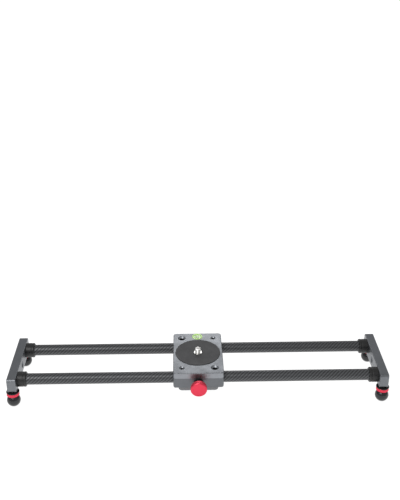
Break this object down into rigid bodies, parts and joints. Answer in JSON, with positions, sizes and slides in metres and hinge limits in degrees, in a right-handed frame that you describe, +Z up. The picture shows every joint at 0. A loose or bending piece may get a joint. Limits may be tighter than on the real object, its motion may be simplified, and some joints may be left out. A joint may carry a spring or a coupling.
{
  "type": "camera slider",
  "caption": "Camera slider: a braked roller carriage with a camera stud and spirit level runs on carbon fibre tubes between end plates on levelling ball feet.",
  "frame": {"origin": "centre of the camera pad's top face, with the carriage at mid travel", "axes": "+X along the tubes, +Y to the rear (the lock knob is at the front), +Z up out of the camera pad"},
  "size_m": [0.6078, 0.1433, 0.0663],
  "materials": {
    "anodised_grey": "bead blasted and anodised satin grey",
    "carbon_fibre": "twill weave carbon fibre under clear resin",
    "bare_aluminium": "turned",
    "black_steel": "black oxide",
    "black_rubber": "moulded, glossy",
    "moulded_grey": "fine moulded grain",
    "pad_rubber": "matt, fine pebble texture",
    "bright_steel": "nickel plated",
    "clear_acrylic": "clear, polished",
    "level_fluid": "pale green fluid",
    "bearing_steel": "ground",
    "brake_nylon": "moulded",
    "black_nylon": "satin moulded",
    "roller_nylon": "turned nylon",
    "brass": "turned",
    "anodised_red": "anodised red"
  },
  "bodies": {
    "rail_frame": {"end_plate_left": "anodised_grey", "end_plate_right": "anodised_grey", "carbon_tube_front": "carbon_fibre", "carbon_tube_rear": "carbon_fibre", "tube_plugs": "bare_aluminium", "tube_screws": "black_steel", "foot_washers": "black_rubber", "tube_collar_front_left": "black_nylon", "tube_collar_front_right": "black_nylon", "tube_collar_rear_left": "black_nylon", "tube_collar_rear_right": "black_nylon"},
    "carriage": {"carriage_body": "anodised_grey", "lower_frame": "moulded_grey", "camera_pad": "pad_rubber", "camera_screw": "bright_steel", "screw_collar": "bright_steel", "screw_washer": "bright_steel", "screw_nut": "bright_steel", "level_housing": "clear_acrylic", "level_liquid": "level_fluid", "level_lens": "clear_acrylic", "bearing_inner_races": "bearing_steel", "roller_sleeves": "bearing_steel", "roller_spacers": "bearing_steel", "roller_shims": "bearing_steel", "roller_bolts": "black_steel", "brake_bush": "brass"},
    "shoe": {"brake_shoe": "bare_aluminium", "brake_lining": "brake_nylon"},
    "knob": {"lock_knob": "anodised_red", "brake_screw": "bright_steel"},
    "roller_front_left_wheel": {"roller_front_left": "roller_nylon", "bearing_outer_races_front_left": "bearing_steel", "bearing_balls_front_left": "bearing_steel"},
    "roller_front_right_wheel": {"roller_front_right": "roller_nylon", "bearing_outer_races_front_right": "bearing_steel", "bearing_balls_front_right": "bearing_steel"},
    "roller_rear_left_wheel": {"roller_rear_left": "roller_nylon", "bearing_outer_races_rear_left": "bearing_steel", "bearing_balls_rear_left": "bearing_steel"},
    "roller_rear_right_wheel": {"roller_rear_right": "roller_nylon", "bearing_outer_races_rear_right": "bearing_steel", "bearing_balls_rear_right": "bearing_steel"},
    "foot_front_left_stud": {"foot_stud_front_left": "bright_steel"},
    "foot_front_left_ball": {"foot_ball_front_left": "black_rubber"},
    "foot_front_left_ring": {"lock_ring_front_left": "anodised_red"},
    "foot_front_right_stud": {"foot_stud_front_right": "bright_steel"},
    "foot_front_right_ball": {"foot_ball_front_right": "black_rubber"},
    "foot_front_right_ring": {"lock_ring_front_right": "anodised_red"},
    "foot_rear_left_stud": {"foot_stud_rear_left": "bright_steel"},
    "foot_rear_left_ball": {"foot_ball_rear_left": "black_rubber"},
    "foot_rear_left_ring": {"lock_ring_rear_left": "anodised_red"},
    "foot_rear_right_stud": {"foot_stud_rear_right": "bright_steel"},
    "foot_rear_right_ball": {"foot_ball_rear_right": "black_rubber"},
    "foot_rear_right_ring": {"lock_ring_rear_right": "anodised_red"}
  },
  "joints": [
    {"name": "carriage_slide", "type": "slide", "parent": "rail_frame", "child": "carriage", "axis": [1, 0, 0], "range_m": [-0.2315, 0.2315]},
    {"name": "roller_spin_front_left", "type": "hinge", "parent": "carriage", "child": "roller_front_left_wheel", "pos_m": [-0.019, -0.0245, -0.0194], "axis": [0, 0, 1], "range_deg": [-1770, 1770]},
    {"name": "roller_spin_front_right", "type": "hinge", "parent": "carriage", "child": "roller_front_right_wheel", "pos_m": [0.019, -0.0245, -0.0194], "axis": [0, 0, 1], "range_deg": [-1770, 1770]},
    {"name": "roller_spin_rear_left", "type": "hinge", "parent": "carriage", "child": "roller_rear_left_wheel", "pos_m": [-0.019, 0.0245, -0.0194], "axis": [0, 0, 1], "range_deg": [-1770, 1770]},
    {"name": "roller_spin_rear_right", "type": "hinge", "parent": "carriage", "child": "roller_rear_right_wheel", "pos_m": [0.019, 0.0245, -0.0194], "axis": [0, 0, 1], "range_deg": [-1770, 1770]},
    {"name": "brake_feed", "type": "slide", "parent": "carriage", "child": "shoe", "axis": [0, 1, 0], "range_m": [-0.00025, 0.00085]},
    {"name": "knob_turn", "type": "hinge", "parent": "shoe", "child": "knob", "pos_m": [0, -0.07315, -0.0194], "axis": [0, 1, 0], "range_deg": [-91, 307]},
    {"name": "foot_extend_front_left", "type": "slide", "parent": "rail_frame", "child": "foot_front_left_stud", "axis": [0, 0, -1], "range_m": [0, 0.01005]},
    {"name": "foot_turn_front_left", "type": "hinge", "parent": "foot_front_left_stud", "child": "foot_front_left_ball", "pos_m": [-0.293, -0.055, -0.0483], "axis": [0, 0, 1], "range_deg": [0, 2880]},
    {"name": "lock_ring_turn_front_left", "type": "hinge", "parent": "rail_frame", "child": "foot_front_left_ring", "pos_m": [-0.293, -0.055, -0.0359], "axis": [0, 0, 1], "range_deg": [-180, 0]},
    {"name": "foot_extend_front_right", "type": "slide", "parent": "rail_frame", "child": "foot_front_right_stud", "axis": [0, 0, -1], "range_m": [0, 0.01005]},
    {"name": "foot_turn_front_right", "type": "hinge", "parent": "foot_front_right_stud", "child": "foot_front_right_ball", "pos_m": [0.293, -0.055, -0.0483], "axis": [0, 0, 1], "range_deg": [0, 2880]},
    {"name": "lock_ring_turn_front_right", "type": "hinge", "parent": "rail_frame", "child": "foot_front_right_ring", "pos_m": [0.293, -0.055, -0.0359], "axis": [0, 0, 1], "range_deg": [-180, 0]},
    {"name": "foot_extend_rear_left", "type": "slide", "parent": "rail_frame", "child": "foot_rear_left_stud", "axis": [0, 0, -1], "range_m": [0, 0.01005]},
    {"name": "foot_turn_rear_left", "type": "hinge", "parent": "foot_rear_left_stud", "child": "foot_rear_left_ball", "pos_m": [-0.293, 0.055, -0.0483], "axis": [0, 0, 1], "range_deg": [0, 2880]},
    {"name": "lock_ring_turn_rear_left", "type": "hinge", "parent": "rail_frame", "child": "foot_rear_left_ring", "pos_m": [-0.293, 0.055, -0.0359], "axis": [0, 0, 1], "range_deg": [-180, 0]},
    {"name": "foot_extend_rear_right", "type": "slide", "parent": "rail_frame", "child": "foot_rear_right_stud", "axis": [0, 0, -1], "range_m": [0, 0.01005]},
    {"name": "foot_turn_rear_right", "type": "hinge", "parent": "foot_rear_right_stud", "child": "foot_rear_right_ball", "pos_m": [0.293, 0.055, -0.0483], "axis": [0, 0, 1], "range_deg": [0, 2880]},
    {"name": "lock_ring_turn_rear_right", "type": "hinge", "parent": "rail_frame", "child": "foot_rear_right_ring", "pos_m": [0.293, 0.055, -0.0359], "axis": [0, 0, 1], "range_deg": [-180, 0]}
  ],
  "couplings": [
    {"joint": "roller_spin_front_left", "follows": "carriage_slide", "rad_per_m": -133.33},
    {"joint": "roller_spin_front_right", "follows": "carriage_slide", "rad_per_m": -133.33},
    {"joint": "roller_spin_rear_left", "follows": "carriage_slide", "rad_per_m": 133.33},
    {"joint": "roller_spin_rear_right", "follows": "carriage_slide", "rad_per_m": 133.33},
    {"joint": "knob_turn", "follows": "brake_feed", "rad_per_m": 6283.2},
    {"joint": "foot_extend_front_left", "follows": "foot_turn_front_left", "m_per_rad": 0.00019894},
    {"joint": "foot_extend_front_right", "follows": "foot_turn_front_right", "m_per_rad": 0.00019894},
    {"joint": "foot_extend_rear_left", "follows": "foot_turn_rear_left", "m_per_rad": 0.00019894},
    {"joint": "foot_extend_rear_right", "follows": "foot_turn_rear_right", "m_per_rad": 0.00019894}
  ]
}
